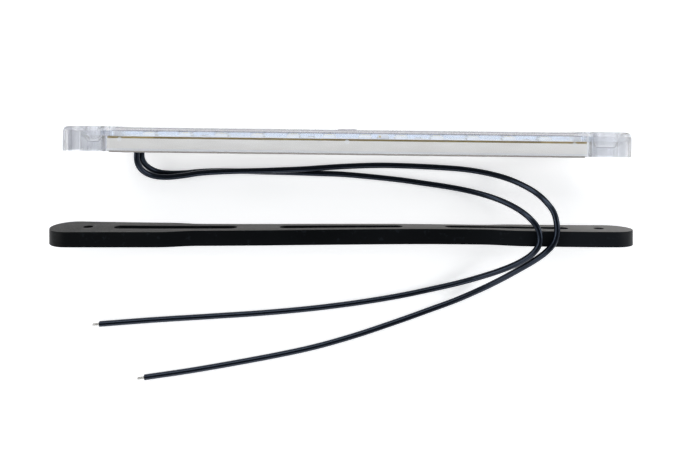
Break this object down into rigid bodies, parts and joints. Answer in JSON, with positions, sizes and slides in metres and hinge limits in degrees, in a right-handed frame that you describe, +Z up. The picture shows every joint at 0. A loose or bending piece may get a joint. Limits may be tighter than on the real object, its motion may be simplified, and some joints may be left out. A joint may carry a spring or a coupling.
{
  "type": "interior light",
  "caption": "Slim strip light for a vehicle's interior: a clear moulded lens over a row of LEDs, a slotted rubber base pad and two bare-ended wires.",
  "frame": {"origin": "on the surface, under the middle of the box round the light and its pad, wires left out", "axes": "+X along the light, from its wire end to its other end; +Y the way the lens faces; +Z up from the surface"},
  "size_m": [0.2456, 0.1108, 0.0221],
  "materials": {
    "clear_lens": "clear moulded plastic, polished",
    "board": "bare edge of a glass-fibre board",
    "led": "white package",
    "resistor": "dark chip",
    "diode": "dark moulded body",
    "potting": "white cast resin, satin",
    "seal": "grey-brown sealing layer, matt",
    "pad_rubber": "black rubber, satin",
    "wire_cover": "black cable cover, soft shine",
    "tinned_wire": "tinned strands"
  },
  "bodies": {
    "root": {"lens_housing": "clear_lens", "circuit_board": "board", "diode": "diode", "potting": "potting", "back_seal": "seal", "base_pad": "pad_rubber", "wire_1": "wire_cover", "wire_2": "wire_cover", "wire_1_strands": "tinned_wire", "wire_2_strands": "tinned_wire", "led_1": "led", "led_2": "led", "led_3": "led", "led_4": "led", "led_5": "led", "led_6": "led", "led_7": "led", "led_8": "led", "led_9": "led", "led_10": "led", "led_11": "led", "led_12": "led", "resistor_1": "resistor", "resistor_2": "resistor", "resistor_3": "resistor", "resistor_4": "resistor"}
  },
  "joints": []
}
